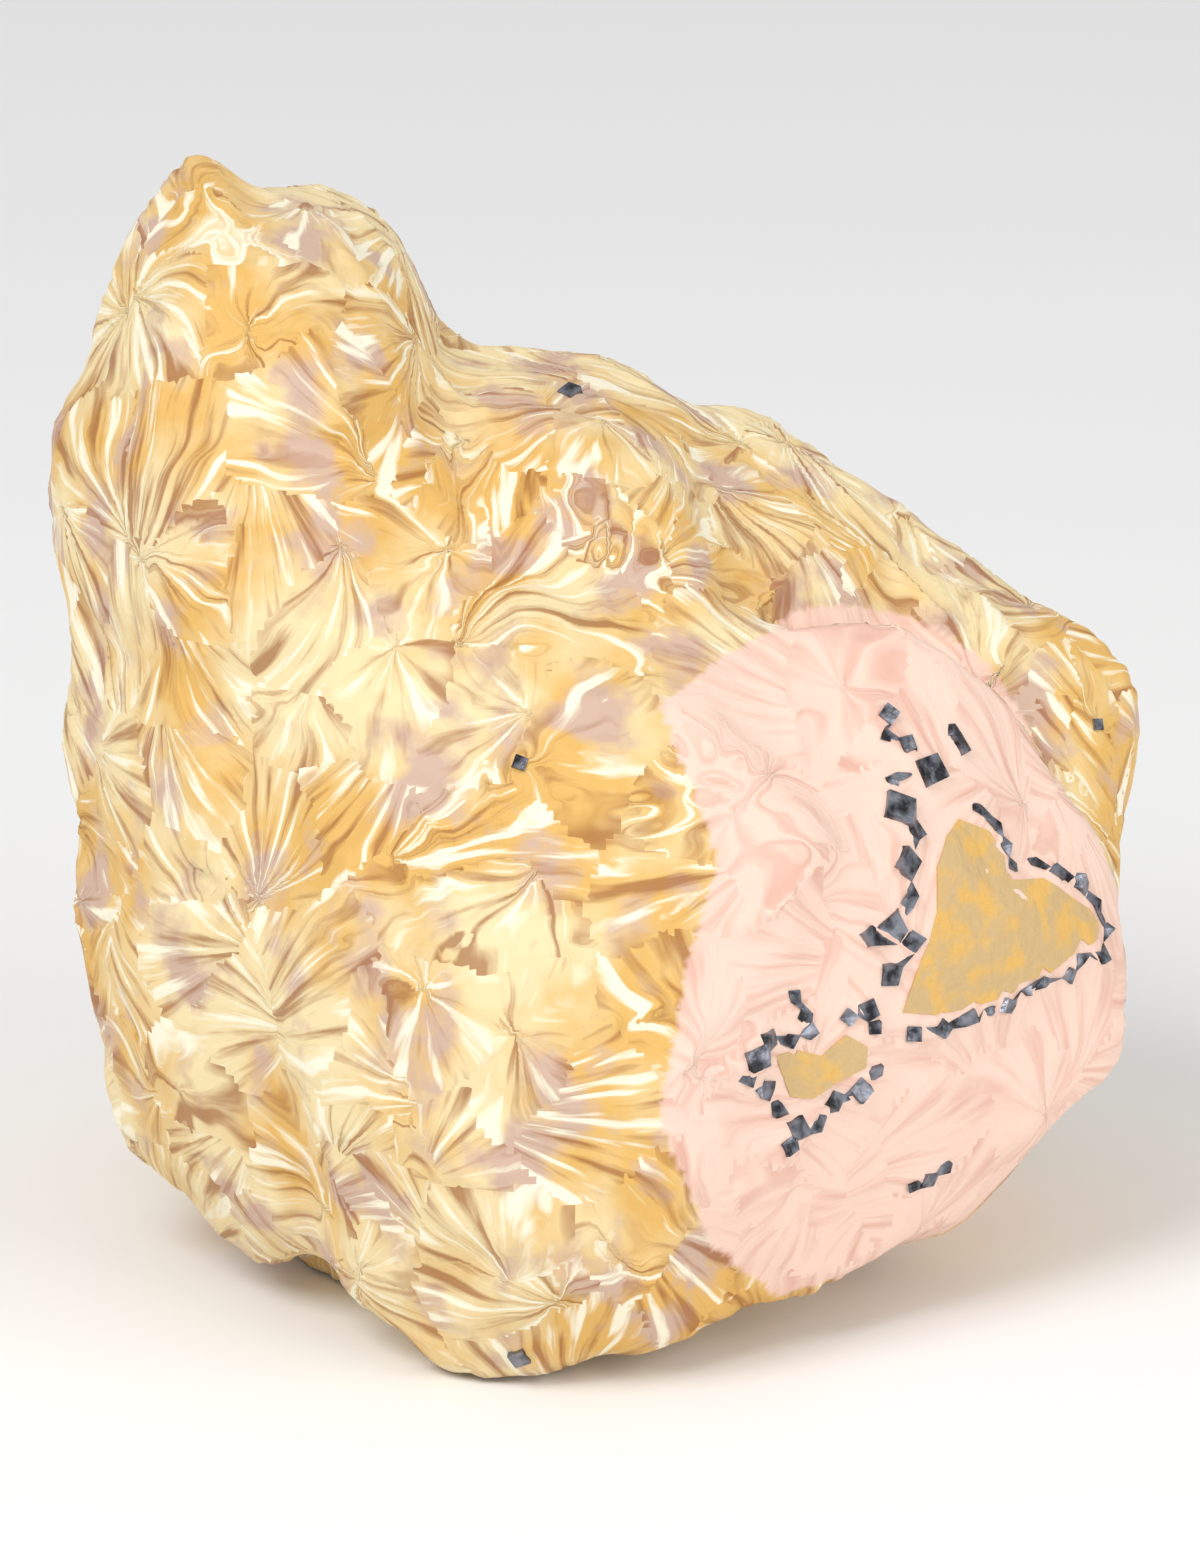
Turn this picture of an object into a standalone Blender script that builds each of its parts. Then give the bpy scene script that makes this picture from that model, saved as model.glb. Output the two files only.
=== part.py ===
"""Barite specimen: a lobed mass of bladed barite standing on its flat broken base.

Run with: blender --background --python part.py
Units are metres, +Z is up, and the front of the specimen faces -Y.
"""

import itertools
import math
import random

import bmesh
import bpy
from mathutils import Matrix, Vector, noise
from mathutils.bvhtree import BVHTree

MM = 0.001

# The specimen is laid out as its front is seen: a place is (x, y, depth), where x and y are picture
# coordinates, PICTURE_STEP of real size each, and depth is the distance in millimetres towards the eye.
PICTURE_STEP = 0.1 * MM
PICTURE_CENTRE = (600.0, 775.5)
EYE_DISTANCE = 1200 * MM
EYE_ELEVATION = math.radians(18)
# From the first layout of the lobes to the middle of the base, which is the origin.
TO_ORIGIN = Vector((0.5, -5.5, 0)) * MM
# The point that the eye looks at, above the base.
TARGET = Vector((0, 0, 51.3 * MM)) + TO_ORIGIN

RIGHT = Vector((1, 0, 0))
UP = Vector((0, math.sin(EYE_ELEVATION), math.cos(EYE_ELEVATION)))
TOWARDS = Vector((0, -math.cos(EYE_ELEVATION), math.sin(EYE_ELEVATION)))


def seen(x, y, depth):
    """The point that shows at picture place (x, y), this many millimetres in front of the target."""
    nearness = (EYE_DISTANCE - depth * MM) / EYE_DISTANCE
    across = (x - PICTURE_CENTRE[0]) * PICTURE_STEP * nearness
    above = (PICTURE_CENTRE[1] - y) * PICTURE_STEP * nearness
    return TARGET + RIGHT * across + UP * above + TOWARDS * (depth * MM)


def behind(x, y, z):
    """A corner on the hidden side, in millimetres."""
    return Vector((x, y, z)) * MM + TO_ORIGIN


# Each lobe is the convex lump around its corners; together they give the outline.
LOBES = {
    "peak": [
        seen(190, 138, -6), seen(168, 160, -5), seen(147, 185, -5), seen(122, 232, -6),
        seen(117, 262, -6), seen(92, 310, -8), seen(80, 362, -8), seen(235, 166, -8),
        seen(250, 240, 6), seen(210, 230, 9), seen(180, 300, 12), seen(240, 330, 15),
        seen(130, 330, 3), seen(280, 420, 17), seen(150, 420, 14),
        behind(-37, 38, 88), behind(-45, 36, 74), behind(-30, 40, 84),
    ],
    "crown": [
        seen(250, 182, -10), seen(300, 176, -14), seen(345, 179, -17), seen(378, 201, -19),
        seen(398, 221, -19), seen(415, 262, -19), seen(424, 300, -16), seen(431, 320, -13),
        seen(330, 235, 3), seen(260, 240, 8), seen(385, 300, 7), seen(300, 330, 17),
        seen(410, 400, 10), seen(250, 420, 18), seen(350, 440, 19),
        behind(-25, 46, 84), behind(-16, 48, 70), behind(-34, 44, 80), behind(-22, 50, 60),
    ],
    "left_shoulder": [
        seen(80, 362, -8), seen(58, 392, -7), seen(44, 432, -7), seen(40, 470, -7),
        seen(50, 505, -8), seen(50, 540, -9), seen(68, 574, -11), seen(110, 430, 8),
        seen(150, 480, 16), seen(210, 450, 18), seen(330, 500, 20), seen(440, 500, 13),
        seen(425, 420, 9), seen(150, 600, 15), seen(300, 640, 20), seen(420, 680, 17),
        seen(200, 690, 14), seen(110, 640, 5),
        behind(-50, 34, 66), behind(-44, 44, 55), behind(-20, 52, 60), behind(-15, 50, 40),
    ],
    "right_dome": [
        seen(447, 343, -14), seen(500, 338, -16), seen(560, 340, -18), seen(604, 346, -18),
        seen(626, 360, -18), seen(664, 382, -17), seen(690, 402, -15), seen(480, 420, 2),
        seen(545, 415, 5), seen(620, 430, 6), seen(675, 470, 5), seen(700, 560, 9),
        seen(600, 560, 15), seen(500, 560, 13), seen(470, 640, 15), seen(620, 650, 19),
        seen(720, 630, 14), seen(560, 480, 11),
        behind(-12, 48, 66), behind(4, 50, 60), behind(8, 52, 40), behind(-14, 52, 44),
    ],
    "dark_lobe": [
        seen(688, 403, -20), seen(718, 400, -23), seen(750, 405, -25), seen(782, 419, -25),
        seen(812, 439, -25), seen(835, 459, -25), seen(869, 479, -25), seen(890, 501, -25),
        seen(924, 519, -25), seen(720, 480, -5), seen(800, 520, -5), seen(880, 560, -8),
        seen(760, 600, 3), seen(850, 625, -2), seen(700, 560, 5), seen(800, 800, 5),
        behind(14, 50, 50), behind(26, 48, 42), behind(12, 52, 25),
    ],
    "far_lobe": [
        seen(922, 520, -27), seen(958, 540, -27), seen(978, 559, -27), seen(1009, 579, -25),
        seen(1043, 600, -24), seen(1079, 619, -23), seen(1112, 636, -22), seen(1131, 659, -20),
        seen(1143, 700, -19), seen(1144, 740, -19), seen(1138, 772, -18), seen(1128, 802, -17),
        seen(1116, 834, -15), seen(960, 600, -12), seen(1000, 660, -9), seen(1050, 740, -9),
        seen(1090, 800, -9), seen(1100, 720, -12), seen(900, 700, -4), seen(1000, 1000, -10),
        behind(30, 46, 42), behind(44, 40, 34), behind(50, 30, 28), behind(40, 40, 12),
    ],
    "pale_face": [
        seen(690, 690, 19), seen(745, 645, 14), seen(800, 613, 9), seen(850, 618, 7),
        seen(905, 608, 5), seen(962, 650, 3), seen(1006, 690, 0), seen(1014, 736, 0),
        seen(1050, 760, -1), seen(1100, 822, -3), seen(1114, 842, -5), seen(1110, 866, -4),
        seen(1118, 898, -3), seen(1131, 928, -3), seen(1138, 962, -3), seen(1136, 1020, -2),
        seen(1132, 1058, -2), seen(1116, 1082, -1), seen(1077, 1098, 1), seen(1050, 1118, 2),
        seen(1000, 1150, 5), seen(900, 1215, 9), seen(862, 1282, 9), seen(793, 1300, 12),
        seen(734, 1320, 14), seen(700, 1200, 27), seen(720, 1000, 28), seen(790, 860, 24),
        seen(900, 850, 18), seen(1000, 900, 11), seen(900, 1050, 17),
        behind(46, 20, 30), behind(42, 30, 14), behind(20, 20, 6),
    ],
    "low_ledge": [
        seen(1052, 1108, -1), seen(1046, 1140, -2), seen(1034, 1162, -1), seen(1002, 1183, -1),
        seen(966, 1221, 0), seen(948, 1241, 0), seen(878, 1259, 2), seen(880, 1180, 8),
        seen(1000, 1100, 4), seen(800, 1240, 10),
        behind(38, 20, 12), behind(30, 10, 2), behind(24, 30, 2),
    ],
    "belly": [
        seen(180, 770, 9), seen(300, 725, 17), seen(400, 705, 21), seen(550, 690, 25),
        seen(690, 690, 23), seen(832, 830, 25), seen(700, 900, 31), seen(560, 950, 34),
        seen(450, 1000, 33), seen(350, 950, 27), seen(300, 1050, 23), seen(560, 1100, 35),
        seen(450, 1180, 32), seen(650, 1150, 32), seen(330, 1200, 20), seen(700, 1200, 28),
        seen(560, 1290, 30), seen(420, 1290, 23), seen(650, 1300, 26), seen(345, 1300, 10),
        seen(377, 1320, 14), seen(400, 1342, 17), seen(646, 1358, 19), seen(696, 1340, 17),
        seen(734, 1320, 14),
        behind(-25, 30, 5), behind(15, 30, 5), behind(-25, 40, 50), behind(15, 40, 45),
    ],
    "foot": [
        seen(396, 1330, 15), seen(412, 1362, 18), seen(457, 1382, 19), seen(500, 1379, 20),
        seen(539, 1384, 20), seen(562, 1366, 21), seen(600, 1358, 22), seen(480, 1280, 28),
        seen(560, 1300, 28), behind(-15, -20, -3), behind(-5, -20, -3),
    ],
    "upper_flank": [
        seen(74, 600, -11), seen(70, 635, -10), seen(61, 685, -10), seen(58, 735, -10),
        seen(64, 785, -9), seen(82, 838, -8), seen(160, 660, 11), seen(120, 720, 6),
        seen(200, 840, 15), seen(110, 820, 3), seen(250, 760, 15), seen(150, 900, 9),
        behind(-46, 40, 50), behind(-44, 40, 34), behind(-20, 46, 40),
    ],
    "lower_flank": [
        seen(82, 842, -8), seen(72, 872, -9), seen(72, 902, -9), seen(78, 942, -9),
        seen(84, 982, -9), seen(94, 1022, -9), seen(101, 1062, -10), seen(104, 1102, -11),
        seen(117, 1140, -12), seen(138, 1161, -12), seen(175, 1182, -10), seen(202, 1221, -8),
        seen(229, 1259, -6), seen(252, 1272, -4), seen(296, 1281, 1), seen(120, 950, 3),
        seen(180, 900, 12), seen(250, 960, 18), seen(200, 1080, 9), seen(275, 1060, 16),
        seen(285, 1230, 9), seen(150, 1080, 2),
        behind(-44, 40, 26), behind(-38, 40, 4), behind(-30, 0, 2), behind(-25, 30, 3),
    ],
    "boulder": [
        seen(475, 640, 19), seen(480, 600, 17), seen(520, 585, 18), seen(590, 600, 18),
        seen(604, 640, 19), seen(585, 690, 21), seen(545, 698, 22), seen(500, 685, 22),
        seen(530, 640, 25), seen(575, 650, 24), seen(540, 640, 0),
    ],
    "left_heart": [
        seen(200, 205, -2), seen(380, 240, -17), seen(110, 330, -5), seen(300, 330, 10),
        seen(420, 350, -4), seen(56, 470, -9), seen(200, 480, 12), seen(445, 520, 8),
        seen(70, 700, -9), seen(300, 700, 15), seen(450, 700, 16), seen(84, 900, -7),
        seen(200, 880, 9), seen(300, 900, 19), seen(500, 900, 27), seen(110, 1090, -10),
        seen(215, 1200, 0), seen(330, 1270, 6), seen(470, 1330, 18), seen(600, 1320, 20),
        seen(700, 1000, 22), seen(700, 1280, 18), seen(600, 700, 16),
        behind(-35, 34, 88), behind(-20, 42, 82), behind(-45, 36, 44), behind(-40, 36, 8),
        behind(0, 46, 60), behind(0, 46, 8),
    ],
    "right_heart": [
        seen(452, 352, -12), seen(560, 350, -16), seen(660, 400, -17), seen(780, 436, -24),
        seen(900, 520, -26), seen(1040, 610, -24), seen(1118, 655, -22), seen(1134, 760, -19),
        seen(1104, 850, -8), seen(1120, 1000, -6), seen(1060, 1090, -3), seen(930, 1200, 2),
        seen(800, 1270, 9), seen(700, 1000, 23), seen(600, 700, 16), seen(600, 560, 10),
        seen(480, 560, 9), seen(1000, 740, -6),
        behind(-12, 44, 72), behind(8, 46, 64), behind(28, 44, 50), behind(44, 36, 38),
        behind(44, 30, 8), behind(0, 46, 8),
    ],
    "waist": [
        seen(560, 600, 17), seen(640, 596, 15), seen(740, 600, 10), seen(800, 640, 9),
        seen(620, 700, 23), seen(700, 695, 21), seen(760, 700, 16), seen(660, 650, 19),
        seen(650, 680, 0), seen(600, 620, 0), seen(740, 640, 0),
    ],
    "back_heart": [
        behind(-44, 33, 66), behind(-41, 43, 46), behind(-38, 40, 10), behind(-24, 49, 50),
        behind(-20, 49, 10), behind(0, 50, 50), behind(0, 49, 8), behind(14, 49, 46),
        behind(30, 45, 39), behind(43, 37, 34), behind(44, 32, 12), behind(30, 43, 10),
        behind(-30, 41, 82), behind(-36, 32, -4), behind(35, 28, -4), behind(-14, 44, -4),
        behind(14, 43, -4), behind(30, 6, -4), behind(-36, 8, -4), behind(2, -26, -4),
        behind(-16, -26, -4), behind(-30, 0, 40), behind(30, 10, 30),
    ],
}
# Rounded lobes of the hidden sides: middle and half sizes along x, y and z, in millimetres.
BOSSES = (
    (-27, 41, 64, 14, 12, 17), (-30, 39, 36, 15, 14, 14), (-7, 43, 48, 14, 12, 15),
    (14, 41, 30, 15, 13, 14), (-10, 43, 18, 15, 12, 12), (32, 33, 18, 13, 12, 13),
    (30, 37, 38, 13, 10, 9), (-36, 32, 12, 9, 11, 11), (-42, 20, 62, 8, 13, 13),
    (-43, 17, 32, 8, 13, 12), (43, 17, 24, 9, 12, 12), (-2, 38, 70, 12, 10, 8),
)
BOSS_ROUNDNESS = 2

# The lobes are grown together on a grid of this step, and softened where they meet.
GROWTH_STEP = 1.4 * MM
SOFTENING_ROUNDS = 6
SOFTENING_FACTOR = 0.5
# The softening shrinks the skin by about this much, which it gets back.
REGROWTH = 0.45 * MM
# Uneven growth: how far the skin swells or sinks, and over what distance.
SWELLS = ((0.8 * MM, 13 * MM), (0.5 * MM, 6 * MM))
# The ledges grow onto the skin on a finer grid.
LEDGE_STEP = 0.65 * MM
BODY_TRIANGLES = 5600

# Sheaves of blades that stand out as ledges, from root to tip in picture coordinates:
# (root x, root y, tip x, tip y, bow to the right of the way, width).
SHEAVES = (
    (262, 186, 412, 285, -28, 26), (262, 215, 398, 315, -25, 24), (250, 245, 375, 345, -28, 26),
    (253, 285, 343, 400, -28, 26), (262, 312, 268, 425, 6, 20), (293, 440, 390, 412, -6, 22),
    (335, 489, 391, 422, -10, 22), (377, 326, 449, 470, -22, 24), (430, 345, 466, 520, -30, 26),
    (470, 352, 478, 570, -34, 28), (155, 600, 264, 524, -24, 40), (264, 539, 441, 486, -8, 26),
    (293, 552, 461, 566, 8, 22), (312, 560, 161, 622, -10, 26), (305, 590, 172, 662, -8, 26),
    (309, 598, 461, 626, -14, 28), (307, 640, 430, 680, -8, 28), (110, 686, 321, 733, -26, 28),
    (133, 711, 222, 795, -10, 24), (128, 730, 180, 830, -8, 20), (500, 345, 685, 408, -22, 32),
    (553, 378, 612, 560, -44, 26), (590, 385, 654, 560, -40, 26), (488, 368, 502, 440, 0, 24),
    (500, 462, 606, 487, -12, 24), (481, 510, 573, 630, -6, 18), (548, 560, 612, 619, -8, 20),
    (604, 577, 690, 600, -4, 24), (643, 619, 700, 648, -4, 20), (663, 552, 745, 546, -10, 22),
    (700, 640, 716, 585, 0, 22), (735, 632, 806, 560, -8, 24), (736, 444, 823, 526, -10, 28),
    (770, 416, 864, 512, -8, 26), (769, 534, 972, 640, -34, 28), (841, 577, 966, 649, -14, 26),
    (950, 612, 1015, 588, -4, 22), (966, 645, 1035, 616, -6, 22), (990, 680, 1042, 652, -4, 22),
    (1020, 598, 1060, 720, -24, 24), (1066, 640, 1079, 735, -6, 22), (1107, 662, 1066, 745, 8, 22),
    (1054, 738, 1108, 824, 8, 24), (385, 728, 556, 708, -24, 28), (556, 708, 672, 662, 10, 24),
    (352, 743, 495, 830, -26, 28), (408, 735, 512, 838, -24, 26), (341, 762, 450, 832, -12, 26),
    (492, 719, 576, 755, -6, 24), (562, 735, 644, 670, -8, 22), (600, 750, 661, 680, -6, 22),
    (624, 721, 689, 763, -8, 22), (532, 760, 619, 772, -6, 20), (515, 815, 588, 789, -6, 22),
    (554, 848, 661, 800, -8, 22), (560, 868, 706, 820, -10, 24), (582, 885, 675, 866, -4, 22),
    (620, 950, 717, 873, -6, 24), (703, 872, 818, 842, -8, 26), (700, 775, 722, 712, 0, 22),
    (740, 785, 766, 740, 0, 22), (677, 779, 748, 793, -6, 20), (672, 818, 730, 795, -4, 20),
    (349, 802, 453, 968, -20, 30), (402, 847, 464, 955, -12, 26), (301, 822, 360, 872, -8, 24),
    (284, 880, 380, 925, -8, 24), (284, 905, 357, 948, -6, 22), (268, 880, 178, 862, 4, 22),
    (230, 920, 153, 880, 4, 22), (200, 842, 228, 920, -6, 20), (351, 1074, 394, 1124, 0, 20),
    (318, 1112, 363, 1158, 0, 20), (330, 1165, 350, 1260, -6, 24), (420, 1200, 512, 1177, -4, 20),
    (580, 1180, 650, 1287, 6, 22), (602, 1050, 690, 1000, -6, 24), (640, 1095, 715, 1020, 8, 26),
    (753, 668, 801, 766, -14, 22), (700, 938, 812, 868, 12, 32), (776, 985, 704, 1090, -22, 24),
    (760, 1180, 716, 1232, 0, 24), (835, 1250, 779, 1288, 0, 24), (1000, 1150, 1046, 1112, 0, 22),
)
# Plates that lie flat on the skin, by their corners in picture coordinates.
PLATES = (
    ((175, 154), (231, 172), (248, 232), (194, 237), (168, 200)),
    ((150, 352), (213, 345), (216, 414), (152, 416)),
    ((218, 348), (258, 342), (262, 418), (224, 424)),
    ((163, 310), (256, 305), (258, 336), (160, 346)),
    ((172, 475), (253, 447), (279, 468), (214, 521)),
    ((502, 490), (604, 484), (608, 528), (504, 530)),
    ((383, 987), (456, 984), (512, 1028), (564, 1054), (562, 1092), (490, 1090), (376, 1078)),
    ((504, 1192), (545, 1195), (548, 1260), (484, 1250)),
    ((755, 808), (787, 798), (818, 810), (810, 840), (775, 838)),
    ((919, 1192), (985, 1190), (964, 1234), (888, 1250), (896, 1222)),
)
PLATE_RISE = 0.7 * MM
SHEAF_RISE = 1.2 * MM
SHEAF_SINK = 1.6 * MM
# How broad and how high a ledge is at its root, its middle and its tip, as shares of the whole.
SHEAF_SECTIONS = ((0.5, 0.1), (1.0, 1.0), (0.4, 0.9))
# The crest of a ledge leans over to one side by this share of its half width.
SHEAF_LEAN = 0.7
# On the sides that the front view hides, sheaves grow at random places, in directions that turn slowly.
# A side is hidden where its normal points this far away from the eye.
HIDDEN_FACING = -0.05
HIDDEN_ABOVE_BASE = 6 * MM
HIDDEN_SHEAVES = 46
HIDDEN_LENGTH = (12 * MM, 22 * MM)
HIDDEN_WIDTH = (2.4 * MM, 3.6 * MM)
TURNING_DISTANCE = 30 * MM
SEED = 11

# Galena crystals by picture place and half size. Each group has grown together into one piece.
GALENA = {
    "galena_vein": (
        (890, 713, 12), (886, 734, 8), (908, 743, 11), (930, 770, 20), (892, 778, 10),
        (899, 809, 22), (916, 831, 13), (907, 862, 18), (912, 897, 11), (895, 925, 17),
        (870, 937, 12), (915, 941, 13), (891, 972, 15),
    ),
    "galena_lens": ((954, 732, 10), (962, 746, 12)),
    "galena_arc": ((978, 807, 7), (996, 824, 8), (1007, 845, 8), (1013, 866, 7)),
    "galena_rim": (
        (1034, 860, 7), (1060, 872, 10), (1082, 884, 13), (1098, 905, 9), (1110, 930, 9),
        (1105, 957, 10), (1084, 955, 10), (1070, 975, 10), (1047, 982, 8), (1028, 992, 8),
        (1007, 1006, 11), (990, 1011, 7), (972, 1017, 11), (944, 1029, 11), (916, 1034, 11),
    ),
    "galena_loop": (
        (796, 996, 9), (806, 1014, 9), (812, 1032, 9), (792, 1040, 9), (770, 1040, 12),
        (757, 1058, 16), (750, 1077, 13), (766, 1090, 14), (780, 1110, 10), (797, 1129, 14),
        (790, 1147, 11), (818, 1127, 9), (834, 1103, 11), (862, 1091, 14), (878, 1070, 9),
    ),
    "galena_cap": ((850, 1018, 10), (871, 1009, 13), (877, 1028, 9)),
    "galena_spot": ((915, 1187, 8), (930, 1179, 11), (946, 1168, 9)),
    "galena_grain_top": ((571, 390, 12),),
    "galena_grain_middle": ((518, 762, 9),),
    "galena_grain_right": ((1098, 724, 8),),
    "galena_grain_foot": ((519, 1358, 12),),
}
# A cube's corners lie this far from its middle along each axis, as a share of its half size.
CRYSTAL_CORNER = 0.72
# A crystal stands with this share of its half size above the skin, and tilts by up to this angle.
CRYSTAL_RISE = 0.25
CRYSTAL_TILT = 0.5
# Crystals that touch grow together on this grid. Thinning them moves their faces by up to its step.
CRYSTAL_STEP = 0.2 * MM
TRIANGLES_PER_CRYSTAL = 9
# Galena that joins two neighbours below the skin, as a share of the smaller one.
BRIDGE_SHARE = 0.5

# The host rock that shows in the broken face, by its corners in picture coordinates.
HOST_ROCK = {
    "host_rock_large": (
        (960, 819), (990, 831), (1006, 859), (1012, 880), (1044, 878), (1076, 900),
        (1104, 918), (1096, 941), (1074, 954), (1050, 974), (1013, 994), (972, 1008),
        (935, 1015), (904, 1012), (924, 955), (938, 912), (938, 866), (948, 835),
    ),
    "host_rock_small": (
        (776, 1056), (797, 1050), (822, 1056), (847, 1035), (868, 1047), (866, 1068),
        (836, 1084), (813, 1099), (791, 1097),
    ),
}
HOST_ROCK_DEPTH = 4 * MM
ABOVE_SKIN = 3 * MM

# Space between pieces that touch on the real specimen.
CLEARANCE = 0.3 * MM

# A place just past the outline slides towards the middle of the picture until the skin shows.
RIM_STEP = 0.01
RIM_STEPS = 12

WELD = 0.002 * MM
BASE_CUTTER = 400 * MM

MATERIALS = {
    "barite": ((0.78, 0.56, 0.28), 0.6, 0.0),
    "galena": ((0.09, 0.09, 0.1), 0.35, 0.8),
    "host_rock": ((0.55, 0.4, 0.22), 0.8, 0.0),
}


def clear_scene():
    for obj in list(bpy.data.objects):
        bpy.data.objects.remove(obj)


def make_material(name):
    colour, roughness, metallic = MATERIALS[name]
    material = bpy.data.materials.new(name)
    material.use_nodes = True
    shader = material.node_tree.nodes["Principled BSDF"]
    shader.inputs["Base Color"].default_value = (*colour, 1)
    shader.inputs["Roughness"].default_value = roughness
    shader.inputs["Metallic"].default_value = metallic
    return material


def add_object(name, bm):
    mesh = bpy.data.meshes.new(name)
    bm.to_mesh(mesh)
    bm.free()
    obj = bpy.data.objects.new(name, mesh)
    bpy.context.scene.collection.objects.link(obj)
    return obj


def add_hull(bm, corners):
    """Adds the convex lump around the corners to the bmesh."""
    verts = [bm.verts.new(corner) for corner in corners]
    made = bmesh.ops.convex_hull(bm, input=verts)
    spare = set(made["geom_interior"]) | set(made["geom_unused"])
    bmesh.ops.delete(bm, geom=[v for v in spare if isinstance(v, bmesh.types.BMVert)])


def hull(corners):
    bm = bmesh.new()
    add_hull(bm, corners)
    return bm


def evaluated(obj):
    """The object's mesh with its modifiers applied, as a new bmesh."""
    bpy.context.view_layer.update()
    bm = bmesh.new()
    bm.from_object(obj, bpy.context.evaluated_depsgraph_get())
    return bm


def combine(obj, bm, operation, solver="EXACT"):
    """Changes the object by a Boolean with the bmesh, which is used up."""
    tool = add_object("tool", bm)
    boolean = obj.modifiers.new("combine", "BOOLEAN")
    boolean.operation = operation
    boolean.solver = solver
    boolean.object = tool
    result = evaluated(obj)
    bmesh.ops.triangulate(result, faces=result.faces)
    bmesh.ops.remove_doubles(result, verts=result.verts, dist=WELD)
    bmesh.ops.dissolve_degenerate(result, edges=result.edges, dist=WELD)
    obj.modifiers.clear()
    result.to_mesh(obj.data)
    result.free()
    bpy.data.objects.remove(tool)


def drop_crumbs(obj):
    """Keeps the largest body of the object, without the crumbs that pockets cut loose."""
    bm = bmesh.new()
    bm.from_mesh(obj.data)
    left = set(bm.verts)
    bodies = []
    while left:
        body = {left.pop()}
        edge_of_body = list(body)
        while edge_of_body:
            vert = edge_of_body.pop()
            near = {edge.other_vert(vert) for edge in vert.link_edges} & left
            left -= near
            body |= near
            edge_of_body.extend(near)
        bodies.append(body)
    bodies.sort(key=len)
    for body in bodies[:-1]:
        bmesh.ops.delete(bm, geom=list(body))
    bm.to_mesh(obj.data)
    bm.free()


def swell(place):
    """How far the skin stands out at a place, from the uneven growth."""
    return REGROWTH + sum(depth * noise.noise(place / size) for depth, size in SWELLS)


def grown_together(shells, step):
    """One closed skin around overlapping shells, made on a grid of this step."""
    rough = add_object("rough", shells)
    remesh = rough.modifiers.new("grow_together", "REMESH")
    remesh.mode = "VOXEL"
    remesh.voxel_size = step
    skin = evaluated(rough)
    bpy.data.objects.remove(rough)
    return skin


def body_form():
    """All lobes grown into one softened skin, which swells and sinks a little."""
    shells = bmesh.new()
    for corners in LOBES.values():
        add_hull(shells, corners)
    for x, y, z, *half_sizes in BOSSES:
        made = bmesh.ops.create_icosphere(shells, subdivisions=BOSS_ROUNDNESS, radius=MM)
        bmesh.ops.scale(shells, verts=made["verts"], vec=half_sizes)
        bmesh.ops.translate(shells, verts=made["verts"], vec=behind(x, y, z))
    skin = grown_together(shells, GROWTH_STEP)
    for _ in range(SOFTENING_ROUNDS):
        bmesh.ops.smooth_vert(
            skin,
            verts=skin.verts,
            factor=SOFTENING_FACTOR,
            use_axis_x=True,
            use_axis_y=True,
            use_axis_z=True,
        )
    skin.normal_update()
    for vert in skin.verts:
        vert.co += vert.normal * swell(vert.co)
    return skin


def thinned(name, bm, triangles):
    """An object from the bmesh with only the faces that its shape needs."""
    bmesh.ops.triangulate(bm, faces=bm.faces)
    share = triangles / len(bm.faces)
    dense = add_object("dense", bm)
    thin = dense.modifiers.new("thin", "DECIMATE")
    thin.ratio = share
    result = add_object(name, evaluated(dense))
    bpy.data.objects.remove(dense)
    return result


class Skin:
    """The surface of the grown form, to set other pieces on."""

    def __init__(self, form):
        self.tree = BVHTree.FromBMesh(form)
        self.eye = TARGET + TOWARDS * EYE_DISTANCE

    def at(self, x, y):
        """The place on the skin that shows at picture place (x, y), and its normal."""
        for step in range(RIM_STEPS):
            share = step * RIM_STEP
            aim = seen(x + (PICTURE_CENTRE[0] - x) * share, y + (PICTURE_CENTRE[1] - y) * share, 0)
            place, normal, _, _ = self.tree.ray_cast(self.eye, (aim - self.eye).normalized())
            if place is not None:
                return place, normal
        raise ValueError(f"nothing shows at {x}, {y}")

    def nearest(self, place):
        found, normal, _, _ = self.tree.find_nearest(place)
        return found, normal


def add_sheaf(bm, stations, width, lean):
    """A ledge along three places on the skin, narrow at its root and its tip."""
    sections = []
    places = [place for place, _ in stations]
    way = (places[2] - places[0]).normalized()
    for (place, normal), (broad, high) in zip(stations, SHEAF_SECTIONS):
        side = way.cross(normal).normalized() * (width * broad / 2)
        low = place - normal * SHEAF_SINK
        crest = place + side * lean + normal * (SHEAF_RISE * high)
        sections.append([low - side, low + side, crest])
    for near, far in zip(sections, sections[1:]):
        add_hull(bm, near + far)


def add_front_sheaves(bm, skin):
    for i, (x0, y0, x1, y1, bow, width) in enumerate(SHEAVES):
        length = math.hypot(x1 - x0, y1 - y0)
        middle_x = (x0 + x1) / 2 - (y1 - y0) / length * bow
        middle_y = (y0 + y1) / 2 + (x1 - x0) / length * bow
        stations = [skin.at(x0, y0), skin.at(middle_x, middle_y), skin.at(x1, y1)]
        add_sheaf(bm, stations, width * PICTURE_STEP, SHEAF_LEAN if i % 2 else -SHEAF_LEAN)


def add_plates(bm, skin):
    for corners in PLATES:
        spots = [skin.at(x, y) for x, y in corners]
        out = sum((normal for _, normal in spots), Vector()).normalized()
        top = max(place.dot(out) for place, _ in spots) + PLATE_RISE / 2
        lifted = [place + out * min(top - place.dot(out), PLATE_RISE) for place, _ in spots]
        add_hull(bm, lifted + [place - out * SHEAF_SINK for place, _ in spots])


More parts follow.
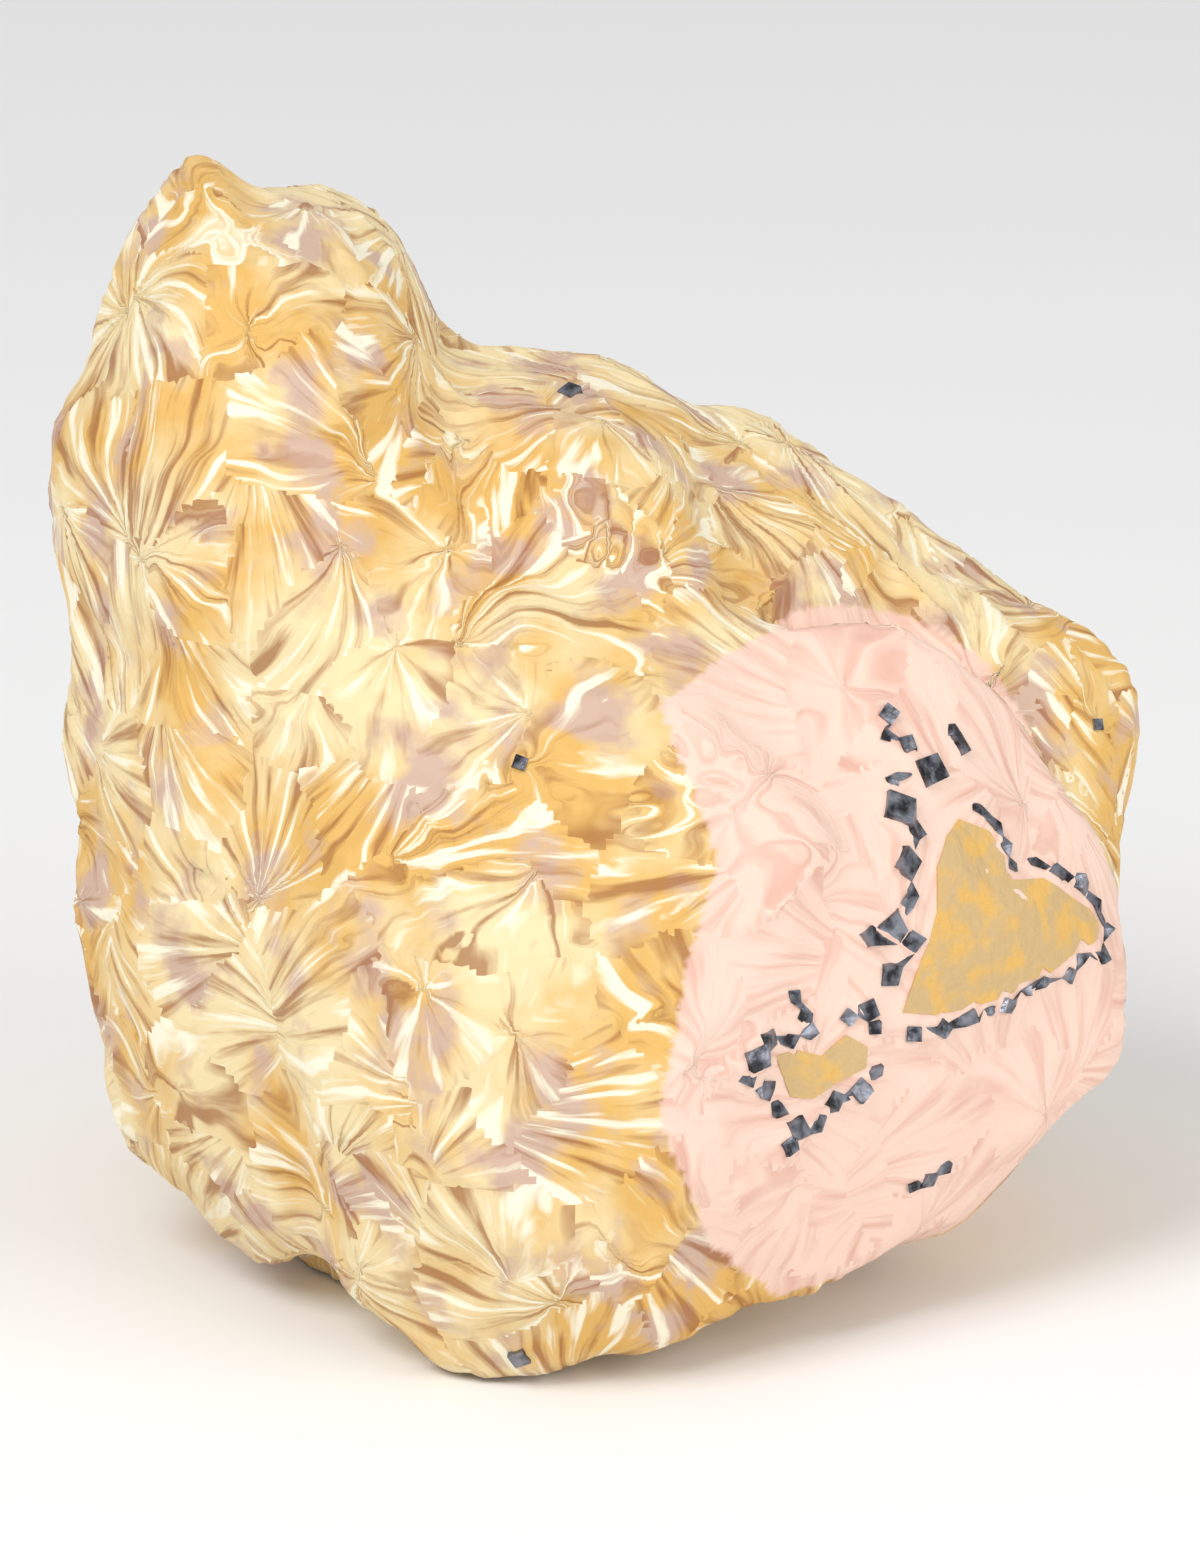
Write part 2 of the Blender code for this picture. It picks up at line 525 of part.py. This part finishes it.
def add_hidden_sheaves(bm, skin, form):
    """Sheaves on the back, the sides and the top, clear of the face that the front view shows."""
    rng = random.Random(SEED)
    away = [face for face in form.faces if face.normal.dot(TOWARDS) < HIDDEN_FACING]
    hidden = [face for face in away if face.calc_center_median().z > HIDDEN_ABOVE_BASE]
    weights = [face.calc_area() for face in hidden]
    for i, face in enumerate(rng.choices(hidden, weights, k=HIDDEN_SHEAVES)):
        centre = face.calc_center_median()
        turn = math.tau * noise.noise(centre / TURNING_DISTANCE)
        across = face.normal.orthogonal().normalized()
        way = Matrix.Rotation(turn, 3, face.normal) @ across
        reach = way * rng.uniform(*HIDDEN_LENGTH) / 2
        stations = [skin.nearest(centre + reach * step) for step in (-1, 0, 1)]
        add_sheaf(bm, stations, rng.uniform(*HIDDEN_WIDTH), SHEAF_LEAN if i % 2 else -SHEAF_LEAN)


def crystal_corners(centre, size, turn):
    """The corners of a galena cube of this half size."""
    reach = size * CRYSTAL_CORNER
    signs = itertools.product((-1, 1), repeat=3)
    return [centre + turn @ (Vector(sign) * reach) for sign in signs]


def galena_pieces(skin, crystals, seed, grown):
    """The crystals of one group and the galena between them, all grown by a clearance."""
    rng = random.Random(seed)
    larger = grown / CRYSTAL_CORNER
    pieces = []
    centres = []
    for x, y, half in crystals:
        place, normal = skin.at(x, y)
        size = half * PICTURE_STEP
        face_turn = normal.to_track_quat("Z", "Y").to_matrix()
        spin = Matrix.Rotation(rng.uniform(0, math.tau), 3, "Z")
        tilt = Matrix.Rotation(rng.uniform(-CRYSTAL_TILT, CRYSTAL_TILT), 3, "X")
        centre = place - normal * size * (CRYSTAL_CORNER - CRYSTAL_RISE)
        pieces.append(crystal_corners(centre, size + larger, face_turn @ spin @ tilt))
        centres.append((centre, size, face_turn))
    for (a, size_a, turn_a), (b, size_b, turn_b) in zip(centres, centres[1:]):
        reach = min(size_a, size_b) * BRIDGE_SHARE + larger
        pieces.append(crystal_corners(a, reach, turn_a) + crystal_corners(b, reach, turn_b))
    return pieces


def grow_group(name, pieces):
    """The pieces of a group grown together into one object."""
    shells = bmesh.new()
    for corners in pieces:
        add_hull(shells, corners)
    if len(pieces) == 1:
        return add_object(name, shells)
    return thinned(name, grown_together(shells, CRYSTAL_STEP), TRIANGLES_PER_CRYSTAL * len(pieces))


def outline_prism(skin, corners, grown):
    """A straight-walled block around the corners, from below the skin to above it."""
    spots = [skin.at(x, y) for x, y in corners]
    out = sum((normal for _, normal in spots), Vector()).normalized()
    middle = sum((place for place, _ in spots), Vector()) / len(spots)
    ring = [place + (middle - place).dot(out) * out for place, _ in spots]
    bm = bmesh.new()
    floor = []
    for i, place in enumerate(ring):
        along = (ring[(i + 1) % len(ring)] - ring[i - 1]).normalized()
        outward = along.cross(out)
        if outward.dot(place - middle) < 0:
            outward = -outward
        floor.append(bm.verts.new(place + outward * grown - out * (HOST_ROCK_DEPTH + grown)))
    raised = bmesh.ops.extrude_face_region(bm, geom=[bm.faces.new(floor)])
    top = [item for item in raised["geom"] if isinstance(item, bmesh.types.BMVert)]
    bmesh.ops.translate(bm, verts=top, vec=out * (HOST_ROCK_DEPTH + grown + ABOVE_SKIN))
    bmesh.ops.triangulate(bm, faces=bm.faces)
    bmesh.ops.recalc_face_normals(bm, faces=bm.faces)
    return bm


def cut_flat_base(body):
    """The specimen stands on one flat plane."""
    bm = bmesh.new()
    bmesh.ops.create_cube(bm, size=BASE_CUTTER)
    bmesh.ops.translate(bm, verts=bm.verts, vec=(0, 0, -BASE_CUTTER / 2))
    combine(body, bm, "DIFFERENCE")


def main():
    clear_scene()
    form = body_form()
    skin = Skin(form)
    shells = form.copy()
    add_plates(shells, skin)
    add_front_sheaves(shells, skin)
    add_hidden_sheaves(shells, skin, form)
    form.free()
    body = thinned("barite_mass", grown_together(shells, LEDGE_STEP), BODY_TRIANGLES)
    skin = Skin(evaluated(body))

    rocks = []
    for name, corners in HOST_ROCK.items():
        rock = add_object(name, evaluated(body))
        combine(rock, outline_prism(skin, corners, 0), "INTERSECT")
        combine(body, outline_prism(skin, corners, CLEARANCE), "DIFFERENCE")
        rocks.append(rock)

    groups = []
    for seed, (name, crystals) in enumerate(GALENA.items()):
        groups.append(grow_group(name, galena_pieces(skin, crystals, seed, 0)))
        pocket = grow_group("pocket", galena_pieces(skin, crystals, seed, CLEARANCE + CRYSTAL_STEP))
        # The exact solver loses the whole body in these cuts, and both meshes are closed.
        for obj in (body, *rocks):
            combine(obj, evaluated(pocket), "DIFFERENCE", "MANIFOLD")
        bpy.data.objects.remove(pocket)

    cut_flat_base(body)
    for obj in (body, *rocks):
        drop_crumbs(obj)
    for kind, objects in (("barite", [body]), ("galena", groups), ("host_rock", rocks)):
        for obj in objects:
            obj.data.materials.append(make_material(kind))
    for obj in (body, *groups, *rocks):
        print(obj.name, len(obj.data.polygons), "triangles")


main()
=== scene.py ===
# %% [markdown]
# # A barite specimen
#
# This lesson dresses one lump of barite in Blender. The lump grew from bundles of thin crystal
# blades, stained cream, orange and brown, and on its right side it is broken: there a pale pink
# fibrous face shows a tan piece of host rock with a rim of dark galena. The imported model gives
# the size and the form. Everything that is only a few tenths of a millimetre thick is made here.

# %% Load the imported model
import math
import random

import bmesh
import bpy
import numpy as np
from mathutils import Matrix, Vector, noise
from mathutils.bvhtree import BVHTree
from mathutils.kdtree import KDTree


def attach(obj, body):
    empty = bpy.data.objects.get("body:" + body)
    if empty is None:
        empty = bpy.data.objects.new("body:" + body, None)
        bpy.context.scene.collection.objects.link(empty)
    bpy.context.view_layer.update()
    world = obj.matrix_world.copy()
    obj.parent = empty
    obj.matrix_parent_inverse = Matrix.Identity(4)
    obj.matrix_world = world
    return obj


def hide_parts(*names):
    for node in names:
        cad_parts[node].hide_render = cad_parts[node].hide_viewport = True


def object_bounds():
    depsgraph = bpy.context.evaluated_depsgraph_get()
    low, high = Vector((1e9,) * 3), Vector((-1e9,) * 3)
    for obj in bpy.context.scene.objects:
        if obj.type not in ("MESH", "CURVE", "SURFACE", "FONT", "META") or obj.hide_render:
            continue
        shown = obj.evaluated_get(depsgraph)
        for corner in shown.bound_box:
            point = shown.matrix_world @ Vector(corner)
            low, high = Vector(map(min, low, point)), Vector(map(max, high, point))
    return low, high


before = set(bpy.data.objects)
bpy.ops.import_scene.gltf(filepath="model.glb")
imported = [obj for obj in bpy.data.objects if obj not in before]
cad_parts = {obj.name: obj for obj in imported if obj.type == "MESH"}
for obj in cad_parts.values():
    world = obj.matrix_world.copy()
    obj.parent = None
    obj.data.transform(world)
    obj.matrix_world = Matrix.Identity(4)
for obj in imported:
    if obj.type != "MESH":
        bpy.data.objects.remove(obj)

MM = 0.001
BODY = "root"
CAD_LOW, CAD_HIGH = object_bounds()
print("the packed model reaches from", CAD_LOW, "to", CAD_HIGH)

# %% [markdown]
# ## Where things are
#
# The specimen is described as its front is seen. A place is given in picture coordinates, and a
# ray from the eye through that place meets the stone. The numbers are those that the packed
# model was laid out with, so the broken face, which is outlined in picture places, lies on the
# stone where the camera sees it. The camera's lens follows from the size of one picture
# step, a tenth of a millimetre, at the point that the eye looks at.

# %% The eye, and picture places
PICTURE_STEP = 0.1 * MM
PICTURE_SIZE = (1200, 1551)
PICTURE_CENTRE = np.array((600.0, 775.5))
EYE_DISTANCE = 1200 * MM
EYE_ELEVATION = math.radians(18)
TARGET = np.array((0.5, -5.5, 51.3)) * MM
RIGHT = np.array((1.0, 0.0, 0.0))
UP = np.array((0.0, math.sin(EYE_ELEVATION), math.cos(EYE_ELEVATION)))
TOWARDS = np.array((0.0, -math.cos(EYE_ELEVATION), math.sin(EYE_ELEVATION)))
EYE = TARGET + TOWARDS * EYE_DISTANCE


def picture_places(points):
    """The picture place of each point, as an array of rows (x, y)."""
    from_target = points - TARGET
    step = PICTURE_STEP * (1 - from_target @ TOWARDS / EYE_DISTANCE)
    across = from_target @ RIGHT / step
    above = from_target @ UP / step
    return np.stack([PICTURE_CENTRE[0] + across, PICTURE_CENTRE[1] - above], axis=1)


def sight_line(x, y):
    """The direction from the eye through a picture place."""
    across = (x - PICTURE_CENTRE[0]) * PICTURE_STEP
    above = (PICTURE_CENTRE[1] - y) * PICTURE_STEP
    aim = TARGET + RIGHT * across + UP * above
    return Vector(aim - EYE).normalized()


# %% The camera
SENSOR = 36.0
camera_data = bpy.data.cameras.new("camera")
camera_data.sensor_width = SENSOR
camera_data.lens = SENSOR * EYE_DISTANCE / (max(PICTURE_SIZE) * PICTURE_STEP)
camera_data.clip_start = EYE_DISTANCE / 10
camera_data.clip_end = EYE_DISTANCE * 10
camera = bpy.data.objects.new("camera", camera_data)
camera.location = EYE
camera.rotation_euler = Vector(-TOWARDS).to_track_quat("-Z", "Y").to_euler()
bpy.context.scene.collection.objects.link(camera)
bpy.context.scene.camera = camera
print("lens", round(camera_data.lens, 1), "mm")

# %% [markdown]
# ## The skin of the stone
#
# The imported model has the barite, the galena and the host rock as separate solids with a hair of
# space between them. On the real stone they have grown into each other. A voxel remesh could join
# them only if they overlapped, so copies of the small solids are swollen a little first. The
# result is one closed skin of even small faces, which the bladed ground is made from.

# %% Join the solids into one skin
SKIN_STEP = 0.75 * MM
SWELLING = 0.45 * MM
WELD = 0.01 * MM


def node_copy(name, swelling=0.0):
    """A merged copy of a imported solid, swollen by this much."""
    bm = bmesh.new()
    bm.from_mesh(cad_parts[name].data)
    bmesh.ops.remove_doubles(bm, verts=bm.verts, dist=WELD)
    bm.normal_update()
    for vert in bm.verts:
        vert.co += vert.normal * swelling
    return bm


def new_object(name, bm):
    mesh = bpy.data.meshes.new(name)
    bm.to_mesh(mesh)
    bm.free()
    obj = bpy.data.objects.new(name, mesh)
    bpy.context.scene.collection.objects.link(obj)
    return obj


def finished_bmesh(obj):
    """The object's mesh with its modifiers, as a bmesh. The object is used up."""
    bpy.context.view_layer.update()
    bm = bmesh.new()
    bm.from_object(obj, bpy.context.evaluated_depsgraph_get())
    bpy.data.objects.remove(obj)
    return bm


shells = bmesh.new()
for name in sorted(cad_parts):
    part = node_copy(name, 0.0 if name == "barite_mass" else SWELLING)
    mesh = bpy.data.meshes.new("shell")
    part.to_mesh(mesh)
    part.free()
    shells.from_mesh(mesh)
    bpy.data.meshes.remove(mesh)
rough = new_object("rough", shells)
remesh = rough.modifiers.new("one_skin", "REMESH")
remesh.mode = "VOXEL"
remesh.voxel_size = SKIN_STEP
skin = finished_bmesh(rough)
for _ in range(2):
    bmesh.ops.smooth_vert(
        skin, verts=skin.verts, factor=0.5, use_axis_x=True, use_axis_y=True, use_axis_z=True
    )
skin.normal_update()
print("skin:", len(skin.faces), "faces")


# %% Find places on the skin
class Stone:
    """The skin, to find places on it and the way out of it."""

    def __init__(self, skin):
        self.tree = BVHTree.FromBMesh(skin)
        skin.faces.ensure_lookup_table()
        normals = [sum((v.normal for v in face.verts), Vector()).normalized() for face in skin.faces]
        self.normals = np.array(normals)

    def at(self, x, y):
        """The place on the stone at a picture place. Past the outline it slides inwards."""
        for slide in range(14):
            share = slide * 0.008
            sx = x + (PICTURE_CENTRE[0] - x) * share
            sy = y + (PICTURE_CENTRE[1] - y) * share
            hit, _, face, _ = self.tree.ray_cast(Vector(EYE), sight_line(sx, sy))
            if hit is not None:
                return np.array(hit), self.normals[face]
        raise ValueError(f"nothing shows at {x}, {y}")

    def nearest(self, point):
        hit, _, face, _ = self.tree.find_nearest(Vector(point))
        return np.array(hit), self.normals[face]

    def snap(self, points):
        """The nearest places on the skin and their normals, for an array of points."""
        flat = points.reshape(-1, 3)
        places = np.empty_like(flat)
        faces = np.empty(len(flat), int)
        find = self.tree.find_nearest
        for i, point in enumerate(flat):
            hit, _, face, _ = find(point)
            places[i] = hit
            faces[i] = face
        return places.reshape(points.shape), self.normals[faces].reshape(points.shape)


stone = Stone(skin)

# %% [markdown]
# ## Finishes
#
# Barite is a matt stone with a faint silky gloss. Its blades are cream, with thin orange and brown
# stain lines between them. The galena is a dark metal grey, and the host rock is tan and granular.

# %% A small wrapper for shader sockets
class Value:
    """A shader socket that ordinary arithmetic works on."""

    def __init__(self, tree, socket):
        self.tree = tree
        self.socket = socket

    def math(self, operation, *others):
        node = self.tree.nodes.new("ShaderNodeMath")
        node.operation = operation
        for i, item in enumerate((self, *others)):
            if isinstance(item, Value):
                self.tree.links.new(item.socket, node.inputs[i])
            else:
                node.inputs[i].default_value = item
        return Value(self.tree, node.outputs[0])

    def __add__(self, other):
        return self.math("ADD", other)

    def __mul__(self, other):
        return self.math("MULTIPLY", other)

    __radd__ = __add__
    __rmul__ = __mul__

    def clipped(self):
        return self.math("MINIMUM", 1.0).math("MAXIMUM", 0.0)


def linear(red, green, blue):
    """A display colour as the linear colour that shaders take."""
    return tuple(((c + 0.055) / 1.055) ** 2.4 for c in (red, green, blue)) + (1.0,)


CREAM = linear(0.93, 0.85, 0.66)
WHITE = linear(0.97, 0.94, 0.84)
ORANGE = linear(0.88, 0.70, 0.38)
DEEP = linear(0.60, 0.34, 0.10)
LILAC = linear(0.80, 0.68, 0.60)
PINK = linear(0.95, 0.82, 0.75)
ROSE = linear(0.84, 0.62, 0.54)
TAN = linear(0.80, 0.68, 0.48)
METAL_DARK = linear(0.20, 0.20, 0.22)
METAL_LIGHT = linear(0.55, 0.56, 0.60)


class Finish:
    """A material that is built node by node."""

    def __init__(self, name, roughness, metallic=0.0):
        self.material = bpy.data.materials.new(name)
        self.material.use_nodes = True
        self.tree = self.material.node_tree
        self.shader = self.tree.nodes["Principled BSDF"]
        self.shader.inputs["Roughness"].default_value = roughness
        self.shader.inputs["Metallic"].default_value = metallic
        self.place = self.node("ShaderNodeTexCoord", out="Object")

    def node(self, kind, settings=None, out=0, **inputs):
        node = self.tree.nodes.new(kind)
        for key, value in (settings or {}).items():
            setattr(node, key, value)
        for key, value in inputs.items():
            socket = node.inputs[int(key[1:])] if key[0] == "n" and key[1:].isdigit() else node.inputs[key]
            if isinstance(value, Value):
                self.tree.links.new(value.socket, socket)
            else:
                socket.default_value = value
        return Value(self.tree, node.outputs[out])

    def noise(self, scale, detail=4.0, where=None):
        return self.node("ShaderNodeTexNoise", Vector=where or self.place, Scale=scale, Detail=detail)

    def mix(self, factor, first, second):
        settings = {"data_type": "RGBA"}
        return self.node("ShaderNodeMix", settings, out=2, n0=factor, n6=first, n7=second)

    def ends(self, colour, bump, strength, distance):
        self.tree.links.new(colour.socket, self.shader.inputs["Base Color"])
        normal = self.node("ShaderNodeBump", Height=bump, Strength=strength, Distance=distance)
        self.tree.links.new(normal.socket, self.shader.inputs["Normal"])
        return self.material


def band(value, middle, sharpness):
    """0 well below the middle and 1 well above it."""
    return (value + -middle).math("MULTIPLY", sharpness).math("ADD", 0.5).clipped()


# %% Barite, galena and host rock
stone_finish = Finish("stained barite", 0.62)
grain_way = stone_finish.node("ShaderNodeAttribute", {"attribute_name": "streak"}, out=1)
pinkness = stone_finish.node("ShaderNodeAttribute", {"attribute_name": "pinkness"}, out=2)
streaks = stone_finish.noise(1.0, 3.0, grain_way)
fine = stone_finish.noise(900.0)
broad = stone_finish.noise(70.0)
patches = stone_finish.noise(130.0)
body = stone_finish.mix(band(broad, 0.5, 5.0), CREAM, ORANGE)
body = stone_finish.mix(band(patches, 0.58, 8.0), body, LILAC)
body = stone_finish.mix(band(streaks, 0.60, 7.0) * 0.75, body, DEEP)
body = stone_finish.mix(band(streaks, 0.40, -12.0), body, WHITE)
face = stone_finish.mix(band(streaks, 0.60, 4.0) * 0.7, PINK, ROSE)
colour = stone_finish.mix(pinkness, body, face)
BARITE = stone_finish.ends(colour, streaks + fine * 0.3, 0.6, 0.5 * MM)

metal = Finish("galena", 0.35, 0.85)
colour = metal.mix(band(metal.noise(600.0), 0.5, 4.0), METAL_DARK, METAL_LIGHT)
GALENA = metal.ends(colour, metal.noise(1200.0), 0.5, 0.3 * MM)
rock = Finish("host rock", 0.8)
colour = rock.mix(band(rock.noise(350.0), 0.55, 6.0), TAN, ORANGE)
HOST_ROCK = rock.ends(colour, rock.noise(900.0), 0.7, 0.4 * MM)

# %% [markdown]
# ## The bladed ground
#
# Slender blades lie side by side in fans that spread from many roots. The skin is raised and
# stained in narrow streaks that follow the nearest fan, and the pale broken face is left soft.

# %% Fans and the streaks along them
SEED = 11
FANS = 260
FAN_SPREAD = 0.9
STREAK_WIDTH = 1.1 * MM
WARP_SIZE = 9 * MM
WARP = 3.5 * MM
STREAK_LENGTH = 14 * MM
RELIEF = 0.45 * MM
SHRINK = 0.5 * MM
FACE_OUTLINE = np.array((
    (660, 702), (722, 656), (801, 609), (847, 602), (910, 615), (979, 652), (1013, 693),
    (1047, 759), (1098, 828), (1129, 900), (1140, 1000), (1129, 1076), (1035, 1154),
    (988, 1220), (885, 1270), (779, 1300), (717, 1250), (660, 1120), (690, 960), (720, 860),
))

rng = np.random.default_rng(SEED)
skin.verts.ensure_lookup_table()
points = np.array([v.co for v in skin.verts])
normals = np.array([v.normal for v in skin.verts])
roots = points[rng.choice(len(points), FANS, replace=False)]
spans = rng.normal(size=(FANS, 3))
tree = KDTree(FANS)
for i, root in enumerate(roots):
    tree.insert(root, i)
tree.balance()
warp = np.array([noise.noise_vector(Vector(p) / WARP_SIZE) for p in points]) * WARP
owner = np.array([tree.find(p)[1] for p in points + warp])
along = spans[owner] + FAN_SPREAD * (points - roots[owner]) / (6 * MM)
along -= normals * np.sum(along * normals, axis=1, keepdims=True)
along /= np.linalg.norm(along, axis=1, keepdims=True) + 1e-9
across = np.cross(normals, along)
offset = points - roots[owner]
streak = np.stack([
    np.sum(offset * across, axis=1) / STREAK_WIDTH,
    np.sum(offset * along, axis=1) / STREAK_LENGTH,
    owner * 7.3,
], axis=1)
face_owner = np.array([owner[face.verts[0].index] for face in skin.faces])
corner_vert = np.array([v.index for face in skin.faces for v in face.verts])
corner_owner = np.repeat(face_owner, [len(face.verts) for face in skin.faces])
corner_offset = points[corner_vert] - roots[corner_owner]
corner_along = spans[corner_owner] + FAN_SPREAD * corner_offset / (6 * MM)
corner_normal = normals[corner_vert]
corner_along -= corner_normal * np.sum(corner_along * corner_normal, axis=1, keepdims=True)
corner_along /= np.linalg.norm(corner_along, axis=1, keepdims=True) + 1e-9
corner_across = np.cross(corner_normal, corner_along)
corner_streak = np.stack([
    np.sum(corner_offset * corner_across, axis=1) / STREAK_WIDTH,
    np.sum(corner_offset * corner_along, axis=1) / STREAK_LENGTH,
    corner_owner * 7.3,
], axis=1)


def inside_outline(places, outline):
    """Which picture places lie inside a polygon."""
    inside = np.zeros(len(places), bool)
    for (x0, y0), (x1, y1) in zip(outline, np.roll(outline, -1, axis=0)):
        crosses = (y0 > places[:, 1]) != (y1 > places[:, 1])
        side = (x1 - x0) * (places[:, 1] - y0) / (y1 - y0 + 1e-9) + x0
        inside ^= crosses & (places[:, 0] < side)
    return inside


pink = (inside_outline(picture_places(points), FACE_OUTLINE) & (normals @ TOWARDS > 0)).astype(float)
lift = np.array([noise.noise(Vector(s)) for s in streak]) * RELIEF * (1 - 0.75 * pink)
moved = points + normals * (lift - SHRINK)[:, None]
moved = np.clip(moved, np.array(CAD_LOW), np.array(CAD_HIGH))
for vert, place in zip(skin.verts, moved):
    vert.co = place
ground = new_object("bladed_ground", skin)
for name, kind, domain, field, values in (
    ("streak", "FLOAT_VECTOR", "CORNER", "vector", corner_streak),
    ("pinkness", "FLOAT", "POINT", "value", pink),
):
    attribute = ground.data.attributes.new(name, kind, domain)
    attribute.data.foreach_set(field, values.astype(np.float32).ravel())
ground.data.shade_smooth()
ground.data.materials.append(BARITE)
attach(ground, BODY)
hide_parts("barite_mass")
print("ground:", len(ground.data.polygons), "faces")

# %% Finishes on the galena and the host rock
for name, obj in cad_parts.items():
    if name.startswith("galena"):
        obj.data.materials.clear()
        obj.data.materials.append(GALENA)
    elif name.startswith("host_rock"):
        obj.data.materials.clear()
        obj.data.materials.append(HOST_ROCK)

# %% [markdown]
# ## Floor and light
#
# The stone stands on plain white, under large soft lamps.

# %% Stage
floor_mesh = bmesh.new()
bmesh.ops.create_grid(floor_mesh, x_segments=1, y_segments=1, size=3.0)
floor = new_object("floor", floor_mesh)
paper = Finish("paper", 0.9)
shade = paper.mix(paper.noise(3.0), linear(0.95, 0.95, 0.95), linear(0.97, 0.97, 0.97))
floor.data.materials.append(paper.ends(shade, paper.noise(400.0), 0.05, 0.1 * MM))
world = bpy.data.worlds.new("room")
world.use_nodes = True
world.node_tree.nodes["Background"].inputs["Color"].default_value = (1.0, 1.0, 1.0, 1.0)
world.node_tree.nodes["Background"].inputs["Strength"].default_value = 0.6
bpy.context.scene.world = world
bpy.context.scene.view_settings.view_transform = "Standard"
for name, place, power in (("key", (-0.5, -0.6, 0.9), 7.0), ("fill", (0.7, -0.5, 0.4), 3.0)):
    lamp_data = bpy.data.lights.new(name, "AREA")
    lamp_data.size = 0.6
    lamp_data.energy = power
    lamp = bpy.data.objects.new(name, lamp_data)
    lamp.location = place
    lamp.rotation_euler = (Vector(TARGET) - Vector(place)).to_track_quat("-Z", "Y").to_euler()
    bpy.context.scene.collection.objects.link(lamp)
